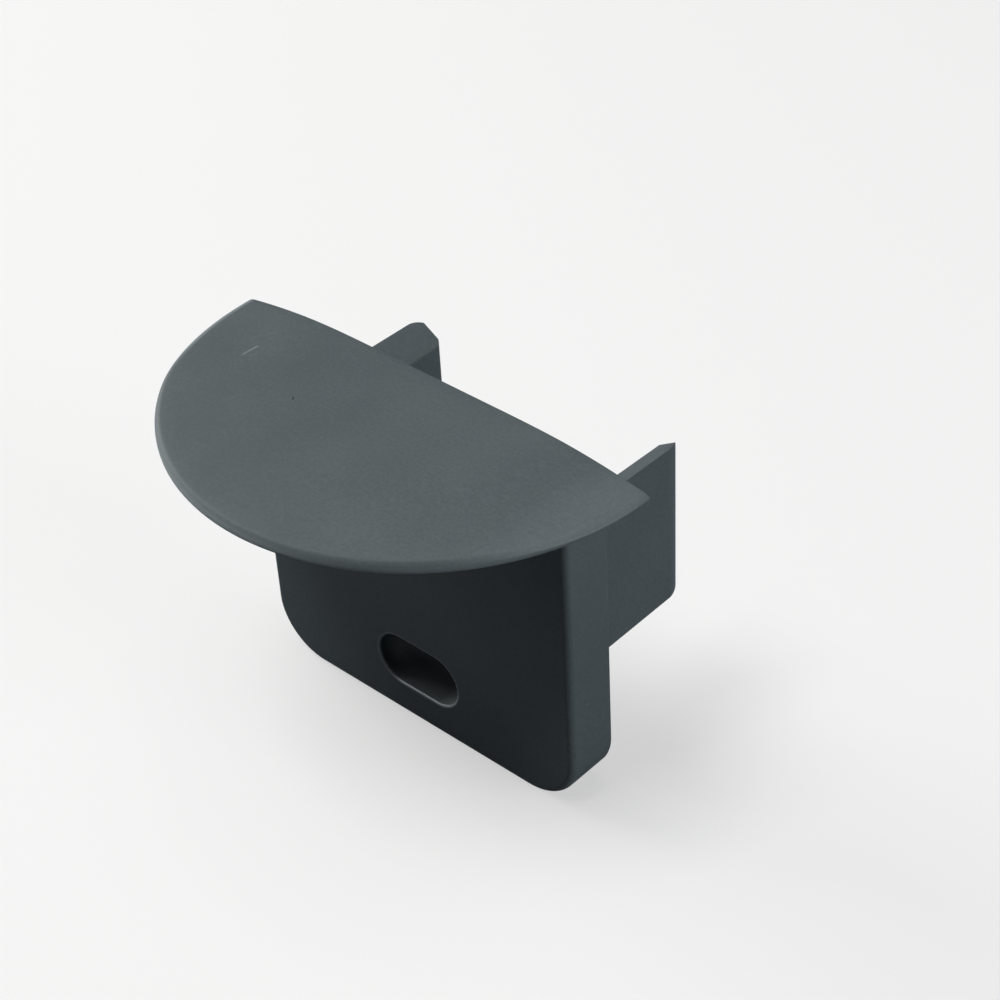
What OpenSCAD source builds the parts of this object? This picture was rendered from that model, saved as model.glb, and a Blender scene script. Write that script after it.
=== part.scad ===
// An end cap moulded in one piece: a half-round flange, a slotted plate and two legs.
// The seat face is the plane y = 0 and the round flange reaches forward, along -Y.
// The underside of the flange is the plane z = 0 and the plate hangs below it.
// The origin is on the seat face, midway across the cap, at the underside of the flange.

/* [Flange] */
// Width of the flange from tip to tip
flange_w = 24.5; // [22:0.5:40]
// Depth of the straight sides of the flange before its round front
flange_side = 0.5; // [0.2:0.1:6]
// Thickness of the flange at its level middle
flange_t = 0.95; // [0.8:0.05:2]
// Thickness of the flange at its two tips
tip_t = 0.25; // [0.25:0.05:0.7]
// Thickness of the flange at its round rim
rim_t = 0.6; // [0.55:0.05:0.75]
// Width of the middle of the flange, beyond which its top falls to the tips
land_w = 10; // [4:0.5:14]
// Radius of the crown of the flange, beyond which its top falls to the rim
crown_r = 4; // [1:0.5:8]
// Radius of the rounded upper edge of the flange
rim_r = 0.3; // [0.1:0.05:0.35]
// Radius of the rounded lower edge of the flange
low_r = 0.2; // [0.05:0.05:0.2]

/* [Plate] */
// Width of the plate
plate_w = 19.6; // [18:0.1:21.5]
// Height of the plate below the flange
plate_h = 18.05; // [14:0.05:30]
// Thickness of the plate
plate_t = 2.75; // [2:0.05:6]
// Radius of the two lower corners
corner_r = 2.9; // [1.5:0.1:5]
// Radius of the rounded front edge of the plate
edge_r = 0.35; // [0.1:0.05:1]
// Radius of the cove where the plate meets the flange
cove_r = 0.4; // [0.1:0.05:1]

/* [Cable slot] */
// Length of the slot, end to end
slot_l = 5.1; // [4:0.1:9]
// Height of the slot
slot_h = 2.85; // [1.5:0.05:3.5]
// Height of the slot's centre above the bottom of the plate
slot_up = 3.4; // [3:0.05:8]
// Width of the bevel round the mouth of the slot
slot_bevel = 0.1; // [0.05:0.05:0.4]

/* [Legs] */
// Distance over the outer faces of the two legs
legs_over = 16.4; // [12:0.1:17]
// Length of a leg behind the seat face
leg_l = 7.1; // [4:0.1:14]
// Distance from the flange down to the outer top edge of a leg at its root
leg_drop = 2.8; // [1:0.05:5]
// Height of a leg at its outer face
leg_h = 9; // [5:0.1:10]
// Thickness of a leg where it leaves the seat face
leg_root_t = 1.55; // [1.45:0.05:2.5]
// Thickness of a leg at its end
leg_end_t = 1.4; // [1:0.05:1.5]
// Angle of the sloped top and bottom of a leg, in degrees
leg_slope = 32; // [10:1:45]
// Radius of the inner edges of a leg
leg_edge_r = 0.25; // [0.1:0.05:0.4]
// Length of the curved lead-in on the outer face of a leg
leg_lead_l = 0.85; // [0.5:0.05:2]
// Depth of the lead-in at the end of a leg
leg_lead_d = 0.3; // [0.1:0.05:0.45]

/* [Hidden] */

// Distances that follow from the sizes above
flange_r = flange_w / 2;
flange_l = flange_side + flange_r;
fall_run = (flange_w - land_w) / 2;
fall = flange_t - tip_t;
fall_r = (fall_run * fall_run + fall * fall) / (2 * fall);
dome_run = flange_r - crown_r;
dome_fall = flange_t - rim_t;
dome_r = (dome_run * dome_run + dome_fall * dome_fall) / (2 * dome_fall);
slot_z = slot_up - plate_h;
leg_mid = -leg_drop - leg_h / 2;
leg_rise = leg_h / 2 - leg_root_t * tan(leg_slope);
leg_draft = atan((leg_root_t - leg_end_t) / leg_l);
leg_lead_r = (leg_lead_l * leg_lead_l + leg_lead_d * leg_lead_d) / (2 * leg_lead_d);

// How far cuts reach past a face and joined shapes reach into each other
past = 1;
into = 0.5;

// Smoothness of small, large and very large rounds
fine = 48;
smooth = 128;
smoothest = 720;

grey = [0.345, 0.376, 0.388];

// Lays a drawing in the XZ plane and gives it a depth, from y = 0 towards -Y
module upright(depth) {
    rotate([90, 0, 0])
        linear_extrude(height = depth)
            children();
}

// One tip of the flange's section: its top falls away in an arc that starts level
module falling_side() {
    intersection() {
        translate([land_w / 2 - into, 0])
            square([fall_run + into, flange_t]);
        union() {
            translate([land_w / 2, flange_t - fall_r])
                circle(r = fall_r, $fn = smoothest);
            translate([land_w / 2 - into, 0])
                square([into, flange_t]);
        }
    }
}

// The section of the flange across its width
module flange_section() {
    translate([-land_w / 2, 0])
        square([land_w, flange_t]);
    falling_side();
    mirror([1, 0]) falling_side();
}

// Section of the flange from its crown out to its rim: an arc that runs on into a rounded edge
module rim_section() {
    round_x = dome_run - rim_r;
    round_z = flange_t - dome_r + sqrt(pow(dome_r - rim_r, 2) - round_x * round_x);
    touch_x = crown_r + round_x * dome_r / (dome_r - rim_r);
    square([crown_r, flange_t]);
    intersection() {
        translate([crown_r - into, 0])
            square([touch_x - crown_r + into, flange_t]);
        translate([crown_r, flange_t - dome_r])
            circle(r = dome_r, $fn = smoothest);
    }
    translate([flange_r - rim_r, round_z])
        circle(r = rim_r, $fn = fine);
    translate([0, low_r])
        square([flange_r, round_z - low_r]);
    square([flange_r - low_r, low_r]);
    translate([flange_r - low_r, low_r])
        circle(r = low_r, $fn = fine);
}

// A domed half-round plate with short straight sides and rounded edges
module rim_body() {
    translate([0, -flange_side, 0])
        rotate([0, 0, 180])
            rotate_extrude(angle = 180, $fn = smoothest)
                rim_section();
    upright(flange_side) {
        rim_section();
        mirror([1, 0]) rim_section();
    }
}

module flange() {
    intersection() {
        rim_body();
        upright(flange_l + past)
            flange_section();
    }
}

// Section of the plate at its edge: x runs out to the edge and y from the seat face to the front
module edge_section() {
    square([corner_r, plate_t - edge_r]);
    square([corner_r - edge_r, plate_t]);
    translate([corner_r - edge_r, plate_t - edge_r])
        circle(r = edge_r, $fn = fine);
}

// The right half of the plate: its side, its rounded corner and half of its bottom edge
module plate_half() {
    mid_w = plate_w / 2 - corner_r;
    side_h = plate_h - corner_r;
    translate([mid_w, 0, -side_h])
        linear_extrude(height = side_h)
            mirror([0, 1]) edge_section();
    translate([mid_w, 0, -side_h])
        rotate([90, 0, 0])
            rotate([0, 0, -90])
                rotate_extrude(angle = 90, $fn = smooth)
                    edge_section();
    translate([0, 0, -side_h])
        rotate([0, 90, 0])
            linear_extrude(height = mid_w)
                mirror([0, 1]) edge_section();
    translate([0, -plate_t, -side_h])
        cube([mid_w, plate_t, side_h]);
}

// Section of the cove: it stands against a wall at x = 0 and hangs from y = 0
module cove_section() {
    difference() {
        translate([-into, -cove_r])
            square([cove_r + into, cove_r]);
        translate([cove_r, -cove_r])
            circle(r = cove_r, $fn = fine);
    }
}

// The cove under the flange on the right: half of the front, the corner and the side
module cove_half() {
    mid_w = plate_w / 2 - edge_r;
    side_l = plate_t - edge_r;
    translate([0, -plate_t, 0])
        rotate([90, 0, 90])
            linear_extrude(height = mid_w)
                mirror([1, 0]) cove_section();
    translate([mid_w, -side_l, 0])
        rotate([0, 0, -90])
            rotate_extrude(angle = 90, $fn = smooth)
                intersection() {
                    translate([edge_r, 0]) cove_section();
                    translate([0, -cove_r])
                        square([edge_r + cove_r, cove_r]);
                }
    translate([plate_w / 2, 0, 0])
        upright(side_l)
            cove_section();
}

// A bar with round ends, made larger all round by one margin in front and another behind
module slot_shape(depth, margin_front, margin_back) {
    reach = slot_l / 2 - slot_h / 2;
    r_front = slot_h / 2 + margin_front;
    r_back = slot_h / 2 + margin_back;
    for (side = [-1, 1])
        translate([side * reach, 0, 0])
            rotate([-90, 0, 0])
                cylinder(r1 = r_front, r2 = r_back, h = depth, $fn = smooth);
    translate([-reach, 0, 0])
        rotate([90, 0, 90])
            linear_extrude(height = 2 * reach)
                polygon([[0, -r_front], [depth, -r_back], [depth, r_back], [0, r_front]]);
}

// The way through the plate for a cable, with a bevel round its mouth
module cable_slot() {
    translate([0, -plate_t - past, slot_z])
        slot_shape(plate_t + 2 * past, 0, 0);
    translate([0, -plate_t, slot_z])
        slot_shape(slot_bevel, slot_bevel, 0);
}

// A leg from above: a curved lead-in outside, a slight draft and a rounded corner inside
module leg_plan() {
    outer = legs_over / 2;
    corner_x = outer - leg_root_t + (leg_l - leg_edge_r) * tan(leg_draft) + leg_edge_r / cos(leg_draft);
    corner_y = leg_l - leg_edge_r;
    polygon([
        [outer, -into],
        [outer, leg_l - leg_lead_l],
        [outer - leg_lead_d, leg_l],
        [corner_x, leg_l],
        [corner_x - leg_edge_r * cos(leg_draft), corner_y + leg_edge_r * sin(leg_draft)],
        [outer - leg_root_t, 0],
        [outer - leg_root_t, -into]
    ]);
    translate([corner_x, corner_y])
        circle(r = leg_edge_r, $fn = fine);
    intersection() {
        translate([outer - leg_end_t / 2, leg_l - leg_lead_l])
            square([leg_end_t / 2, leg_lead_l]);
        translate([outer - leg_lead_r, leg_l - leg_lead_l])
            circle(r = leg_lead_r, $fn = smooth);
    }
}

// Upper half of a leg's section: x runs out from the inner face, whose upper edge is rounded
module leg_upper_half() {
    reach = leg_root_t + past;
    round_y = leg_rise + leg_edge_r * tan(leg_slope) - leg_edge_r / cos(leg_slope);
    polygon([
        [0, 0],
        [reach, 0],
        [reach, leg_rise + reach * tan(leg_slope)],
        [leg_edge_r - leg_edge_r * sin(leg_slope), round_y + leg_edge_r * cos(leg_slope)],
        [0, round_y]
    ]);
    translate([leg_edge_r, round_y])
        circle(r = leg_edge_r, $fn = fine);
}

// The right leg, which leans with its draft about the foot of its inner face
module leg() {
    intersection() {
        translate([0, 0, leg_mid - leg_h])
            linear_extrude(height = 2 * leg_h)
                leg_plan();
        translate([legs_over / 2 - leg_root_t, 0, leg_mid])
            rotate([0, 0, -leg_draft])
                translate([0, leg_l + past, 0])
                    upright(leg_l + 2 * past) {
                        leg_upper_half();
                        mirror([0, 1]) leg_upper_half();
                    }
    }
}

module end_cap() {
    color(grey)
        union() {
            flange();
            difference() {
                union() {
                    plate_half();
                    mirror([1, 0, 0]) plate_half();
                }
                cable_slot();
            }
            cove_half();
            mirror([1, 0, 0]) cove_half();
            leg();
            mirror([1, 0, 0]) leg();
        }
}

end_cap();
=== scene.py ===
import math

import bmesh
import bpy
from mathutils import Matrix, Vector


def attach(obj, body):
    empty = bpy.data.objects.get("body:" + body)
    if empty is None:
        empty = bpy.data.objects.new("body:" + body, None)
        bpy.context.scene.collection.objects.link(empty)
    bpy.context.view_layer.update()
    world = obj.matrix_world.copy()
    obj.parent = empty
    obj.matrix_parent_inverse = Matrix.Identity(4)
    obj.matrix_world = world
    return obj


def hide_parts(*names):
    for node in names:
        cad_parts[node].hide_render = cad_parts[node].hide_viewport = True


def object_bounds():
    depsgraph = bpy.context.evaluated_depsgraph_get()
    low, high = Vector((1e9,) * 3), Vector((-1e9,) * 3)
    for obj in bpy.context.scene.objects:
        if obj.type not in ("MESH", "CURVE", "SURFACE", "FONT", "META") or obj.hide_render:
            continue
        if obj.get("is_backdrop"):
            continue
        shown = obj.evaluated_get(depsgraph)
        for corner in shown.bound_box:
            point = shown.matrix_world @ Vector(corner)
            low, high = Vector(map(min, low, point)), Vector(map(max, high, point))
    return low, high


# Moulded end cap, looks only. Sizes are in millimetres and are turned to metres where they are used.
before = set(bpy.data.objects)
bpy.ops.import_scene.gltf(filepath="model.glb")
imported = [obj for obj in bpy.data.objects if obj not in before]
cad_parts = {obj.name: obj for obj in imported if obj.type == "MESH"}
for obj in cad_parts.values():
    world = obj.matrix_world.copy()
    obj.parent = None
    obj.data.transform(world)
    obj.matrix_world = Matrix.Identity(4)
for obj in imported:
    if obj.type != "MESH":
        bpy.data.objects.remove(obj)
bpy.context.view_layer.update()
print("frame loaded:", sorted(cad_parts))

mm = 0.001
sameLine = 0.004   # millimetres: points closer than this count as on one line or face
tightLine = 0.001  # the same, where other points lie near
samePoint = 1e-7   # metres: points closer than this are merged
facing = 0.9       # how far a face has to look one way to count as facing it


def pick(piece):
    bpy.ops.object.select_all(action="DESELECT")
    piece.select_set(True)
    bpy.context.view_layer.objects.active = piece


def select(piece, kind, test):
    # kind is VERT, EDGE or FACE; the test gets points in millimetres
    bpy.ops.mesh.select_mode(type=kind)
    bpy.ops.mesh.select_all(action="DESELECT")
    mesh = bmesh.from_edit_mesh(piece.data)
    if kind == "VERT":
        for vert in mesh.verts:
            vert.select = test(vert.co / mm)
    elif kind == "EDGE":
        for edge in mesh.edges:
            edge.select = test(*[vert.co / mm for vert in edge.verts])
    else:
        for face in mesh.faces:
            face.select = test(face.calc_center_median() / mm, face.normal)
    mesh.select_flush_mode()
    bmesh.update_edit_mesh(piece.data)


def near(a, b, gap=sameLine):
    return abs(a - b) < gap


def roundEdges(piece, radius, segments, test):
    select(piece, "EDGE", test)
    bpy.ops.mesh.bevel(offset=radius * mm, offset_type="OFFSET", segments=segments, profile=0.5,
                       affect="EDGES", clamp_overlap=False)


def cutAcross(point, direction):
    # a line of edges round the whole piece, in a plane
    bpy.ops.mesh.select_all(action="SELECT")
    bpy.ops.mesh.bisect(plane_co=[v * mm for v in point], plane_no=direction, threshold=samePoint)


def slide(x, y, z):
    bpy.ops.transform.translate(value=(x * mm, y * mm, z * mm))


def extrude(x, y, z):
    bpy.ops.mesh.extrude_region_move(TRANSFORM_OT_translate={"value": (x * mm, y * mm, z * mm)})


def mergeDoubles():
    bpy.ops.mesh.select_all(action="SELECT")
    bpy.ops.mesh.remove_doubles(threshold=samePoint)


def turnOutwards():
    bpy.ops.mesh.select_all(action="SELECT")
    bpy.ops.mesh.normals_make_consistent(inside=False)


def addBlock(name, low, high):
    size = [(b - a) * mm for a, b in zip(low, high)]
    middle = [(a + b) / 2 * mm for a, b in zip(low, high)]
    bpy.ops.object.select_all(action="DESELECT")
    bpy.ops.mesh.primitive_cube_add(size=1, location=middle, scale=size)
    bpy.ops.object.transform_apply(location=True, rotation=True, scale=True)
    block = bpy.context.object
    block.name = name
    return block


def applyModifier(piece, kind, **settings):
    pick(piece)
    modifier = piece.modifiers.new(kind.title(), kind)
    for name, value in settings.items():
        setattr(modifier, name, value)
    bpy.ops.object.modifier_apply(modifier=modifier.name)


def combine(piece, other, operation):
    applyModifier(piece, "BOOLEAN", operation=operation, object=other, solver="EXACT")
    bpy.data.objects.remove(other)


# The flange: a rounded section spun through half a turn, then raised to a dome with a lattice
flangeSizes = {
    "width": 24.5,
    "side": 0.5,         # the straight stretch behind the round front
    "thickness": 0.95,
    "tipThickness": 0.25,
    "rimThickness": 0.6,
    "landWidth": 10,     # the top falls beyond it to the tips
    "crownRadius": 4,    # the top falls beyond it to the rim
    "rimRadius": 0.3,
    "rimSegments": 8,
    "lowerRadius": 0.2,
    "lowerSegments": 5,
    "seatRadius": 0.08,
    "seatSegments": 3,
    "ringStep": 0.6,
    "spinSteps": 120,
    "latticePoints": 64,
    "softFold": 0.02,    # where the dome and the arch meet
}


def makeFlange(sizes):
    radius = sizes["width"] / 2
    depth = sizes["side"]
    tall = sizes["rimThickness"]
    bpy.ops.object.select_all(action="DESELECT")
    bpy.ops.mesh.primitive_plane_add(size=1, location=(radius / 2 * mm, -depth * mm, tall / 2 * mm),
                                     rotation=(math.pi / 2, 0, 0))
    flange = bpy.context.object
    flange.name = "flange"
    flange.scale = (radius * mm, tall * mm, 1)
    bpy.ops.object.transform_apply(location=True, rotation=True, scale=True)
    bpy.ops.object.mode_set(mode="EDIT")
    for height, kind in ((tall, "rim"), (0, "lower")):
        select(flange, "VERT", lambda p: near(p.x, radius) and near(p.z, height))
        bpy.ops.mesh.bevel(offset=sizes[kind + "Radius"] * mm, offset_type="OFFSET",
                           segments=sizes[kind + "Segments"], profile=0.5, affect="VERTICES")
    # rings, so that the top can bend
    rings = int((radius - sizes["rimRadius"]) / sizes["ringStep"])
    for ring in range(1, rings + 1):
        cutAcross((ring * sizes["ringStep"], 0, 0), (1, 0, 0))
    bpy.ops.mesh.select_all(action="SELECT")
    bpy.ops.mesh.spin(steps=sizes["spinSteps"], angle=math.pi, center=(0, -depth * mm, 0), axis=(0, 0, 1))
    mergeDoubles()
    select(flange, "FACE", lambda c, n: near(c.y, -depth, tightLine) and abs(n.y) > facing)
    extrude(0, depth, 0)
    turnOutwards()
    bpy.ops.object.mode_set(mode="OBJECT")
    raiseTop(flange, sizes)
    bpy.ops.object.mode_set(mode="EDIT")
    # the underside and the seat face each become one flat face, with no points along the edge between them
    for isFlat in (lambda c, n: near(c.z, 0) and n.z < -facing, lambda c, n: near(c.y, 0) and n.y > facing):
        select(flange, "FACE", isFlat)
        bpy.ops.mesh.dissolve_limited(angle_limit=0.001)
    select(flange, "VERT", lambda p: near(p.y, 0) and near(p.z, 0) and abs(p.x) < radius - sizes["rimRadius"])
    bpy.ops.mesh.dissolve_verts()
    roundEdges(flange, sizes["seatRadius"], sizes["seatSegments"],
               lambda a, b: near(a.y, 0) and near(b.y, 0) and max(a.z, b.z) > sizes["lowerRadius"] / 2
               and not near(a.x, b.x, tightLine / 2))
    bpy.ops.object.mode_set(mode="OBJECT")
    return flange


def fallBeyond(distance, start, end, fall):
    # how far an arc that starts level has fallen
    out = max(distance - start, 0)
    arcRadius = ((end - start) ** 2 + fall * fall) / (2 * fall)
    return arcRadius - math.sqrt(max(arcRadius * arcRadius - out * out, 0))


def raiseTop(flange, sizes):
    # the underside stays flat; the top rises from the rim to the crown and falls again to the two tips
    width = sizes["width"]
    radius = width / 2
    middle = -radius / 2
    tall = sizes["rimThickness"]
    high = sizes["thickness"]
    bpy.ops.object.select_all(action="DESELECT")
    bpy.ops.object.add(type="LATTICE", location=(0, middle * mm, tall / 2 * mm))
    cage = bpy.context.object
    cage.data.points_u = sizes["latticePoints"]
    cage.data.points_v = sizes["latticePoints"]
    cage.data.points_w = 2
    for axis in ("u", "v", "w"):
        setattr(cage.data, "interpolation_type_" + axis, "KEY_LINEAR")
    cage.scale = (width * mm, width * mm, tall * mm)
    for point in cage.data.points:
        if point.co.z > 0:
            x, y = point.co.x * width, point.co.y * width + middle
            arch = high - fallBeyond(abs(x), sizes["landWidth"] / 2, radius, high - sizes["tipThickness"])
            out = math.hypot(x, min(y + sizes["side"], 0))
            dome = high - fallBeyond(out, sizes["crownRadius"], radius, high - tall)
            fold = math.hypot(arch - dome, sizes["softFold"])
            height = (arch + dome - fold) / 2
            point.co_deform.z += (height - tall) / tall
    bpy.context.view_layer.update()
    applyModifier(flange, "LATTICE", object=cage)
    bpy.data.objects.remove(cage)


plateSizes = {
    "width": 19.6,
    "height": 18.05,
    "thickness": 2.75,
    "cornerRadius": 2.9,
    "cornerSegments": 28,
    "edgeRadius": 0.35,
    "edgeSegments": 8,
    "seatRadius": 0.06,
    "seatSegments": 2,
    "coveRadius": 0.4,
    "coveSteps": 6,
    "intoFlange": 0.1,
}


def makePlate(sizes):
    half = sizes["width"] / 2
    low = -sizes["height"]
    front = -sizes["thickness"]
    top = sizes["intoFlange"]
    plate = addBlock("plate", (-half, front, low), (half, 0, top))
    bpy.ops.object.mode_set(mode="EDIT")
    roundEdges(plate, sizes["cornerRadius"], sizes["cornerSegments"],
               lambda a, b: near(a.z, low) and near(b.z, low) and near(a.x, b.x))
    for face, kind in ((front, "edge"), (0, "seat")):
        roundEdges(plate, sizes[kind + "Radius"], sizes[kind + "Segments"],
                   lambda a, b: near(a.y, face) and near(b.y, face)
                   and not (near(a.z, top) and near(b.z, top)))
    flareTop(plate, sizes)
    bpy.ops.object.mode_set(mode="OBJECT")
    return plate


def flareTop(plate, sizes):
    # a cove: the front, the corners and the sides curve outwards into the underside of the flange
    cove, rounding = sizes["coveRadius"], sizes["edgeRadius"]
    cornerX = sizes["width"] / 2 - rounding
    cornerY = rounding - sizes["thickness"]
    turns = [math.pi / 2 * step / sizes["coveSteps"] for step in range(sizes["coveSteps"] + 1)]
    rings = [(cove * (math.sin(turn) - 1), cove * (1 - math.cos(turn))) for turn in turns]
    for ring in rings:
        cutAcross((0, 0, ring[0]), (0, 0, 1))
    for height, out in rings[1:] + [(sizes["intoFlange"], cove)]:
        grown = 1 + out / rounding
        for side in (1, -1):
            select(plate, "VERT", lambda p: near(p.z, height) and p.x * side > cornerX - tightLine
                   and p.y < cornerY + tightLine)
            bpy.ops.transform.resize(value=(grown, grown, 1),
                                     center_override=(side * cornerX * mm, cornerY * mm, 0))
            select(plate, "VERT", lambda p: near(p.z, height) and p.x * side > cornerX - tightLine
                   and p.y > cornerY + tightLine)
            slide(side * out, 0, 0)


slotSizes = {
    "length": 5.1,
    "height": 2.85,
    "up": 3.4,
    "roundSegments": 24,
    "roundShare": 0.9999,  # of half the height; a full round would leave end faces of no height
    "lip": 0.1,
    "lipSteps": ((0.4, 0.12), (0.35, 0.32), (0.25, 0.56)),  # forwards and outwards, as shares of the lip
    "past": 1,
}


def makeSlotCutter(sizes):
    # a bar with round ends that opens out where it leaves the front of the plate
    middle = sizes["up"] - plateSizes["height"]
    front = -plateSizes["thickness"]
    lip, past = sizes["lip"], sizes["past"]
    reach, rise = sizes["length"] / 2, sizes["height"] / 2
    cutter = addBlock("slotCutter", (-reach, front + lip, middle - rise), (reach, past, middle + rise))
    bpy.ops.object.mode_set(mode="EDIT")
    roundEdges(cutter, rise * sizes["roundShare"], sizes["roundSegments"],
               lambda a, b: near(a.x, b.x) and near(a.z, b.z))
    place = front + lip
    for forward, grow in [(along * lip, out * lip) for along, out in sizes["lipSteps"]] + [(past, 0)]:
        select(cutter, "FACE", lambda c, n: near(c.y, place, tightLine) and n.y < -facing)
        extrude(0, -forward, 0)
        place -= forward
        bpy.ops.transform.resize(value=(1 + grow / reach, 1, 1 + grow / rise),
                                 center_override=(0, place * mm, middle * mm))
        reach += grow
        rise += grow
    turnOutwards()
    bpy.ops.object.mode_set(mode="OBJECT")
    return cutter


legSizes = {
    "overLegs": 16.4,
    "length": 7.1,
    "drop": 2.8,
    "height": 9,
    "rootThickness": 1.55,
    "endThickness": 1.4,
    "slope": 0.625,      # of the top and the bottom, rise over run
    "leadLength": 0.85,
    "leadDepth": 0.3,
    "leadCuts": 6,
    "innerRadius": 0.25,
    "innerSegments": 5,
    "softRadius": 0.06,
    "softSegments": 2,
    "intoPlate": 0.3,
}


def makeLeg(sizes):
    outer = sizes["overLegs"] / 2
    end = sizes["length"]
    start = -sizes["intoPlate"]
    slope = sizes["slope"]
    draft = (sizes["rootThickness"] - sizes["endThickness"]) / end
    inner = outer - sizes["rootThickness"]
    crease = -sizes["drop"] - slope * sizes["rootThickness"]
    middle = -sizes["drop"] - sizes["height"] / 2
    rise = crease - middle
    leg = addBlock("leg", (inner, start, middle - rise), (outer, end, middle + rise))
    bpy.ops.object.mode_set(mode="EDIT")
    # the inner side closes in towards the end, and the top and the bottom rise from it to the outer side
    for y in (start, end):
        select(leg, "VERT", lambda p: near(p.x, inner) and near(p.y, y))
        slide(draft * y, 0, 0)
        thickness = sizes["rootThickness"] - draft * y
        for side in (1, -1):
            select(leg, "VERT", lambda p: near(p.x, outer) and near(p.y, y) and (p.z - middle) * side > 0)
            slide(0, 0, side * slope * thickness)
    # the edges inside the plate stay sharp
    free = start + sizes["intoPlate"] / 3
    thin = outer - sizes["endThickness"]
    roundEdges(leg, sizes["innerRadius"], sizes["innerSegments"],
               lambda a, b: max(a.x, b.x) < thin + sameLine and max(a.y, b.y) > free)
    # the outer side leads in along an arc before the end
    run, depth = sizes["leadLength"], sizes["leadDepth"]
    arcRadius = (run * run + depth * depth) / (2 * depth)
    steps = [run * cut / sizes["leadCuts"] for cut in range(sizes["leadCuts"] + 1)]
    for out in steps[:-1]:
        cutAcross((0, end - run + out, 0), (0, 1, 0))
    for out in steps[1:]:
        shift = arcRadius - math.sqrt(arcRadius * arcRadius - out * out)
        for side in (1, -1):
            select(leg, "VERT", lambda p: near(p.y, end - run + out) and near(p.x, outer)
                   and (p.z - middle) * side > 0)
            slide(-shift, 0, -side * slope * shift)

    def onSlope(p):
        return near(abs(p.z - middle), rise + slope * (p.x - inner - draft * p.y))

    def onRim(p):
        return near(p.y, end) or p.x > outer - depth - sameLine

    def atLeadEnd(a, b):
        return near(min(a.y, b.y), end) and near(min(a.x, b.x), outer - depth)

    roundEdges(leg, sizes["softRadius"], sizes["softSegments"],
               lambda a, b: max(a.y, b.y) > free and onRim(a) and onRim(b)
               and (onSlope(a) and onSlope(b) or atLeadEnd(a, b)))
    bpy.ops.object.mode_set(mode="OBJECT")
    return leg


def mirrorCopy(piece):
    pick(piece)
    bpy.ops.object.duplicate()
    other = bpy.context.object
    bpy.ops.transform.resize(value=(-1, 1, 1), center_override=(0, 0, 0))
    bpy.ops.object.transform_apply(location=True, rotation=True, scale=True)
    bpy.ops.object.mode_set(mode="EDIT")
    turnOutwards()
    bpy.ops.object.mode_set(mode="OBJECT")
    return other


def splitLargeFaces(piece):
    # faces of more than four corners are split evenly here, because the export's own way
    # makes flat triangles along a straight side with many points
    bpy.ops.object.mode_set(mode="EDIT")
    bpy.ops.mesh.select_mode(type="FACE")
    bpy.ops.mesh.select_all(action="DESELECT")
    bpy.ops.mesh.select_face_by_sides(number=4, type="GREATER")
    bpy.ops.mesh.quads_convert_to_tris(quad_method="BEAUTY", ngon_method="BEAUTY")
    bpy.ops.object.mode_set(mode="OBJECT")


def makeCap():
    cap = makeFlange(flangeSizes)
    print("flange made:", len(cap.data.polygons), "faces")
    plate = makePlate(plateSizes)
    combine(plate, makeSlotCutter(slotSizes), "DIFFERENCE")
    print("plate made:", len(plate.data.polygons), "faces")
    leg = makeLeg(legSizes)
    otherLeg = mirrorCopy(leg)
    print("legs made:", len(leg.data.polygons), "faces each")
    combine(plate, leg, "UNION")
    combine(plate, otherLeg, "UNION")
    combine(cap, plate, "UNION")
    cap.name = "moulded_cap"
    pick(cap)
    bpy.ops.object.mode_set(mode="EDIT")
    mergeDoubles()
    bpy.ops.object.mode_set(mode="OBJECT")
    bpy.ops.object.shade_smooth_by_angle(angle=math.radians(32))
    applyModifier(cap, "WEIGHTED_NORMAL", keep_sharp=True, weight=50, mode="FACE_AREA")
    splitLargeFaces(cap)
    print("cap joined:", len(cap.data.polygons), "faces")
    return cap


cap = makeCap()


class Wire:
    # one socket of a shader tree; maths on wires adds the Math nodes for it
    def __init__(self, tree, socket=None):
        self.tree = tree
        self.socket = socket

    def node(self, kind, settings=(), inputs=(), output=0):
        made = self.tree.nodes.new(kind)
        for name, value in dict(settings).items():
            setattr(made, name, value)
        for name, value in dict(inputs).items():
            if isinstance(value, Wire):
                value.into(made.inputs[name])
            else:
                made.inputs[name].default_value = value
        return Wire(self.tree, made.outputs[output])

    def into(self, socket):
        self.tree.links.new(self.socket, socket)

    def math(self, operation, first, second=0.0):
        return self.node("ShaderNodeMath", {"operation": operation}, {0: first, 1: second})

    def __add__(self, other):
        return self.math("ADD", self, other)

    def __sub__(self, other):
        return self.math("SUBTRACT", self, other)

    def __mul__(self, other):
        return self.math("MULTIPLY", self, other)

    def __rsub__(self, other):
        return self.math("SUBTRACT", other, self)

    __radd__ = __add__
    __rmul__ = __mul__

    def absolute(self):
        return self.math("ABSOLUTE", self)

    def root(self):
        return self.math("SQRT", self)

    def atLeast(self, other):
        return self.math("MAXIMUM", self, other)

    def atMost(self, other):
        return self.math("MINIMUM", self, other)

    def rise(self, low, high):
        # 0 below low, 1 above high, smooth between
        return self.node("ShaderNodeMapRange", {"interpolation_type": "SMOOTHSTEP"},
                         {"Value": self, "From Min": low, "From Max": high})

    def fall(self, low, high):
        # 1 below low, 0 above high, smooth between
        return 1 - self.rise(low, high)

    def blend(self, first, second):
        # from the first colour where this is 0 to the second where it is 1
        return self.node("ShaderNodeMix", {"data_type": "RGBA"}, {0: self, 6: first, 7: second}, 2)

    def split(self):
        # the three coordinates of a vector
        parts = self.node("ShaderNodeSeparateXYZ", {}, {0: self})
        return [Wire(self.tree, socket) for socket in parts.socket.node.outputs]

    def noise(self, scale, detail, roughness):
        return self.node("ShaderNodeTexNoise", {}, {"Vector": self, "Scale": scale, "Detail": detail,
                                                    "Roughness": roughness})


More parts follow.
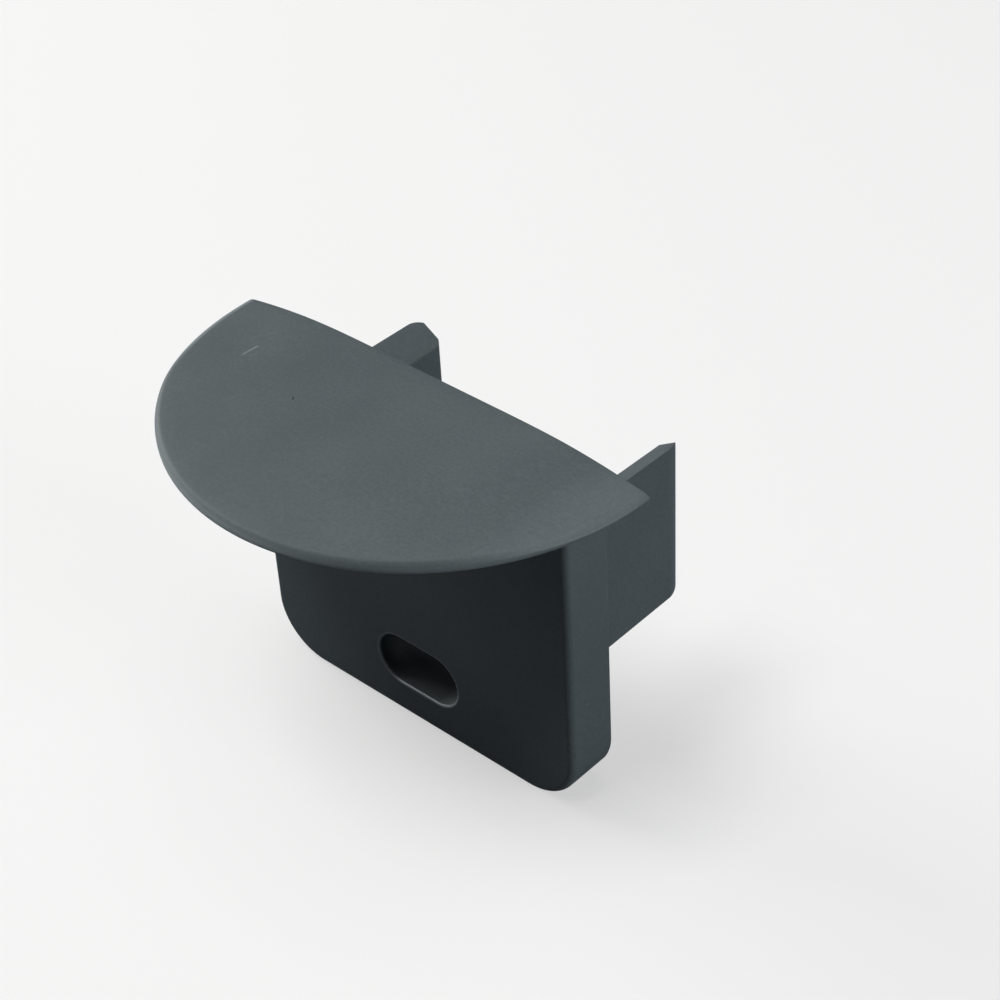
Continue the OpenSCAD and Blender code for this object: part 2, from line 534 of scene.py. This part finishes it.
def newMaterial(name):
    material = bpy.data.materials.new(name)
    material.use_nodes = True
    shader = material.node_tree.nodes["Principled BSDF"]
    return material, shader, Wire(material.node_tree)


# Marks that the photograph shows, in millimetres: start, end, width and strength
topScratch = ((-8.40, -4.05), (-8.34, -3.12), 0.11, 0.36)
topScuffs = (
    ((-9.12, -2.75), (-8.95, -2.30), 0.09, 0.07),
    ((-8.75, -2.25), (-8.55, -1.75), 0.09, 0.08),
    ((-8.35, -2.45), (-8.20, -2.05), 0.10, 0.07),
    ((-8.10, -3.90), (-7.85, -3.55), 0.09, 0.07),
    ((-8.15, -3.15), (-7.95, -2.65), 0.09, 0.055),
    ((-7.60, -3.20), (-7.45, -2.90), 0.08, 0.055),
)
topSpeck = ((-4.0, -5.03), (-3.86, -5.17), 0.06, 0.9)
sideSpeck = ((-1.68, -11.91), (-1.52, -11.93), 0.07, 0.2)
markFade = (0.2, 0.8)  # a mark fades between these shares of its width


def stroke(x, y, start, end, width, strength):
    # a soft mark from start to end on a flat face
    run, rise = end[0] - start[0], end[1] - start[1]
    length = math.hypot(run, rise)
    run, rise = run / length, rise / length
    along = (x - start[0]) * run + (y - start[1]) * rise
    across = ((x - start[0]) * rise - (y - start[1]) * run).absolute()
    ends = along.rise(-width, width) * along.fall(length - width, length + width)
    return ends * across.fall(width * markFade[0], width * markFade[1]) * strength


# In the three dictionaries of painted light and shade, which also say where the slot's walls are rougher,
# a pair is a stretch in millimetres over which a mark comes or goes, and a single number is a strength
slotPaintSpans = {
    "lineStart": (-0.02, 0.03),  # outwards from the wall of the slot
    "lineEnd": (0.08, 0.18),
    "lineFront": (-2.7, -2.62),
    # the line round the mouth is a painted highlight, stronger below the slot
    "line": 0.75,
    "lineBelow": 0.25,           # what the line has more below the slot
    "below": (0, 0.1),
    "wallsEnd": (0.01, 0.04),
    "wallsFront": (-2.7, -2.55),
    # where the painted shade inside the slot comes in, towards the back
    "shadeFront": (-2.3, -1.0),
}


def paintSlotLightAndShade(x, y, z, spans):
    # a painted highlight round the mouth of the slot, stronger below it, its rougher walls, and painted shade
    # inside it towards the back
    rise = slotSizes["height"] / 2
    straight = slotSizes["length"] / 2 - rise
    outX = (x.absolute() - straight).atLeast(0.0)
    outZ = z - (slotSizes["up"] - plateSizes["height"])
    away = (outX * outX + outZ * outZ).root() - rise
    line = away.rise(*spans["lineStart"]) * away.fall(*spans["lineEnd"]) * y.fall(*spans["lineFront"])
    line = line * ((outZ + rise).fall(*spans["below"]) * spans["lineBelow"] + spans["line"])
    walls = away.fall(*spans["wallsEnd"])
    return line, walls * y.rise(*spans["wallsFront"]), walls * y.rise(*spans["shadeFront"])


platePaintSpans = {
    "lowerInside": (0.05, 0.3),  # inwards from the outline
    "lowerFront": (-2.5, -2.3),
    "lowerHeight": (-17, -15.5),
    "lower": 0.13,
    "sideOut": (9.7, 9.79),
    "sideStart": (-11, -2),
    "sideEnd": (-0.5, 0),
    "side": 0.045,
}


def paintPlateLight(x, y, z, spans):
    # a pale painted reflection on the plate's lower edge, and pale painted light on the upper part of its
    # side
    corner = plateSizes["cornerRadius"]
    outX = (x.absolute() - (plateSizes["width"] / 2 - corner)).atLeast(0.0)
    outZ = (corner - plateSizes["height"] - z).atLeast(0.0)
    inside = corner - (outX * outX + outZ * outZ).root()
    lower = inside.fall(*spans["lowerInside"]) * y.fall(*spans["lowerFront"]) * z.fall(*spans["lowerHeight"])
    side = x.rise(*spans["sideOut"]) * z.rise(*spans["sideStart"]) * z.fall(*spans["sideEnd"])
    return lower * spans["lower"] + side * spans["side"]


rimPaintSpans = {
    "rimOut": (-0.4, -0.3),      # outwards to the outline
    "rimTop": (0.22, 0.56),
    "rimBottom": (-0.03, 0.03),
    "rimLeft": (-13.2, -9.8),
    "rimRight": (9.5, 12),
    "rim": 0.95,
    "rimFades": (0.5, 6.5),
    "rimFade": 0.76,             # what the right has less
    "leftOut": (-0.45, -0.05),
    "leftEnd": (-7, 1),
    "left": 0.1,
    "tipStart": (8.5, 11.5),
    "tip": 0.08,
    "aboveBottom": (0, 0.1),
    "upperOut": (-0.4, -0.1),
    "upperBottom": (0.3, 0.45),
}


def paintRimLightAndShade(x, y, z, spans):
    # painted light on the lower rim, most on the left, a painted highlight near the outline on the left, and
    # painted light at the right tip; the rim's upper edge by itself
    front = (y + flangeSizes["side"]).atMost(0.0)
    out = (x * x + front * front).root() - flangeSizes["width"] / 2
    rim = out.rise(*spans["rimOut"]) * z.fall(*spans["rimTop"]) * z.rise(*spans["rimBottom"])
    rim = rim * x.rise(*spans["rimLeft"]) * x.fall(*spans["rimRight"])
    rim = rim * (spans["rim"] - x.rise(*spans["rimFades"]) * spans["rimFade"])
    above = z.rise(*spans["aboveBottom"])
    left = out.rise(*spans["leftOut"]) * x.fall(*spans["leftEnd"]) * above
    tip = x.rise(*spans["tipStart"]) * above
    upper = out.rise(*spans["upperOut"]) * z.rise(*spans["upperBottom"])
    return rim + left * spans["left"] + tip * spans["tip"], upper


plasticLook = {
    "colour": (0.0755, 0.094, 0.1010, 1),
    "paler": (0.0945, 0.115, 0.1225, 1),
    # pale colour of the real scratches and scuffs, also used for the painted light and highlights on the rim,
    # the plate and the slot's mouth
    "wornAndLit": (0.355, 0.41, 0.43, 1),
    # dark colour of a real dark spot, also used for the painted shade in the slot and on the rim's upper edge
    "speckAndShade": (0.012, 0.015, 0.017, 1),
    "roughness": 0.5,
    "gloss": 0.3,
    "cloud": (260, 4, 0.55),      # scale, detail and roughness of the noise
    "grain": (6500, 3, 0.6),
    "grainDepth": 0.0000035,      # in metres
    "cloudColour": 1.3,           # how much each noise changes the colour and the roughness
    "grainColour": 3.0,
    "cloudRoughness": 0.12,
    "grainRoughness": 0.1,
    "palerShare": 0.35,
    "scratchLeast": 0.35,         # the grain breaks up the scratch
    "scratchDepth": 2,            # in depths of the grain
    "topFace": (0.3, 0.5),        # in millimetres: where the marks on that face come in
    "sideFace": (9.6, 9.75),
    # strength of the painted shade inside the slot
    "slotShade": 0.85,
    "mouthRoughness": -0.2,
    "wallRoughness": 0.3,
    # painted shade that dims the highlight on the rim's upper edge
    "upperDark": 0.25,            # the rim's upper edge, on the right only
    "upperDarkStart": (-2, 6),
    "upperDarkEnd": (8, 10.5),
    "upperRoughness": 0.12,
    "upperRougher": 0.18,         # what its right has more
    "upperRougherStart": (-8, 2),
}


def makePlastic(look):
    material, shader, wires = newMaterial("greyMouldedPlastic")
    place = wires.node("ShaderNodeTexCoord", output="Object")
    x, y, z = wires.node("ShaderNodeVectorMath", {"operation": "SCALE"}, {0: place, "Scale": 1 / mm}).split()
    onTop, onSide = z.rise(*look["topFace"]), x.rise(*look["sideFace"])
    cloud = place.noise(*look["cloud"]) - 0.5
    grain = place.noise(*look["grain"]) - 0.5
    paler = cloud * look["cloudColour"] + grain * look["grainColour"] + look["palerShare"]
    plain = paler.blend(look["colour"], look["paler"])

    marks = stroke(x, y, *topScratch) * (grain + 0.5 + look["scratchLeast"])
    for scuff in topScuffs:
        marks = marks + stroke(x, y, *scuff)
    marks = marks * onTop + stroke(y, z, *sideSpeck) * onSide
    mouth, walls, deep = paintSlotLightAndShade(x, y, z, slotPaintSpans)
    rim, upper = paintRimLightAndShade(x, y, z, rimPaintSpans)
    # real scratches and scuffs, with painted highlights and painted light on the slot's mouth, the plate and
    # the rim
    wornAndLit = marks + mouth + paintPlateLight(x, y, z, platePaintSpans) + rim
    # painted shade on the rim's upper edge, on the right
    upperDark = upper * (x.rise(*look["upperDarkStart"]) - x.rise(*look["upperDarkEnd"])) * look["upperDark"]
    # a real dark spot on the top, with painted shade inside the slot and on the rim's upper edge
    dirtAndShade = stroke(x, y, *topSpeck) * onTop + deep * look["slotShade"] + upperDark
    colour = dirtAndShade.blend(wornAndLit.blend(plain, look["wornAndLit"]), look["speckAndShade"])

    rougher = x.rise(*look["upperRougherStart"]) * look["upperRougher"] + look["upperRoughness"]
    roughness = look["roughness"] + cloud * look["cloudRoughness"] + grain * look["grainRoughness"]
    roughness = roughness + mouth * look["mouthRoughness"] + walls * look["wallRoughness"] + upper * rougher
    bump = wires.node("ShaderNodeBump", {}, {"Height": grain - marks * look["scratchDepth"],
                                             "Distance": look["grainDepth"], "Strength": 1.0})
    colour.into(shader.inputs["Base Color"])
    roughness.into(shader.inputs["Roughness"])
    bump.into(shader.inputs["Normal"])
    shader.inputs["Specular IOR Level"].default_value = look["gloss"]
    return material


cap.data.materials.clear()
cap.data.materials.append(makePlastic(plasticLook))
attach(cap, "root")
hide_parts("end_cap")
print("cap finished")


stageLook = {
    "floor": (0.9, 0.9, 0.9, 1),        # as the camera sees it
    "shine": (0.26, 0.295, 0.345, 1),   # as gloss sees it
    "bounce": (0.026, 0.03, 0.035, 1),  # as soft light sees it
    "roughness": 0.9,
    "glow": 0.885,
    "glowShare": 0.595,
    "size": 1.6,                        # in metres
}


def makeStage(look):
    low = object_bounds()[0][2]
    bpy.ops.object.select_all(action="DESELECT")
    bpy.ops.mesh.primitive_plane_add(size=look["size"], location=(0, 0, low))
    floor = bpy.context.object
    floor.name = "floor"
    bpy.ops.object.transform_apply(location=True, rotation=True, scale=True)
    material, shader, wires = newMaterial("paleFloor")
    camera = wires.node("ShaderNodeLightPath", output="Is Camera Ray")
    gloss = wires.node("ShaderNodeLightPath", output="Is Glossy Ray")
    unseen = gloss.blend(look["bounce"], look["shine"])
    camera.blend(unseen, look["floor"]).into(shader.inputs["Base Color"])
    shader.inputs["Roughness"].default_value = look["roughness"]
    shader.inputs["Specular IOR Level"].default_value = 0.0
    glow = wires.node("ShaderNodeEmission", {}, {"Strength": look["glow"]})
    lit = wires.node("ShaderNodeMixShader", {}, {0: camera * look["glowShare"],
                                                 1: Wire(wires.tree, shader.outputs[0]), 2: glow})
    lit.into(wires.tree.nodes["Material Output"].inputs["Surface"])
    floor.data.materials.append(material)
    floor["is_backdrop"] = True


makeStage(stageLook)
print("floor laid")

lampLook = {
    # name: place in metres, size, watts and colour; each faces the origin
    "topLamp": ((-0.03, -0.01, 0.38), 0.3, 0.42, (1, 1, 1)),
    "frontLamp": ((-0.046, -0.138, 0.378), 0.16, 0.86, (1, 1, 1)),
    "leftLamp": ((-0.34, -0.03, 0.13), 0.22, 0.94, (1, 0.98, 0.95)),
    "rightLamp": ((0.375, 0.08, 0.08), 0.2, 0.8, (0.98, 1, 1)),
    "shineLamp": ((-0.22, -0.245, 0.226), 0.2, 1.1, (0.88, 0.95, 1)),
}


def addLamps(look):
    for name, (place, size, watts, colour) in look.items():
        bpy.ops.object.select_all(action="DESELECT")
        bpy.ops.object.light_add(type="AREA", location=place)
        lamp = bpy.context.object
        lamp.name = name
        lamp.rotation_euler = (-Vector(place)).to_track_quat("-Z", "Y").to_euler()
        lamp.data.size = size
        lamp.data.energy = watts
        lamp.data.color = colour
        lamp.visible_diffuse = name != "shineLamp"  # this one only adds gloss


roomLook = {"colour": (1, 1, 1, 1), "light": 0.02, "seen": 0.93}


def setRoom(look):
    world = bpy.data.worlds.new("room")
    bpy.context.scene.world = world
    world.use_nodes = True
    wires = Wire(world.node_tree)
    camera = wires.node("ShaderNodeLightPath", output="Is Camera Ray")
    background = world.node_tree.nodes["Background"]
    background.inputs["Color"].default_value = look["colour"]
    (camera * (look["seen"] - look["light"]) + look["light"]).into(background.inputs["Strength"])


addLamps(lampLook)
setRoom(roomLook)
print("lamps and room set")

cameraPlace = {
    "location": (61.6735, -59.8764, 60.6975),
    "turn": (52.0662, 2.6513, 42.1192),  # in degrees
    "lens": 84.53,
    "sensor": 36,
    "nearest": 1,
}


def addCamera(place):
    bpy.ops.object.select_all(action="DESELECT")
    bpy.ops.object.camera_add(location=[v * mm for v in place["location"]],
                              rotation=[math.radians(v) for v in place["turn"]])
    camera = bpy.context.object
    camera.data.lens = place["lens"]
    camera.data.sensor_width = place["sensor"]
    camera.data.sensor_fit = "HORIZONTAL"
    camera.data.clip_start = place["nearest"] * mm
    bpy.context.scene.camera = camera


addCamera(cameraPlace)
bpy.context.scene.view_settings.view_transform = "Standard"
print("camera placed")
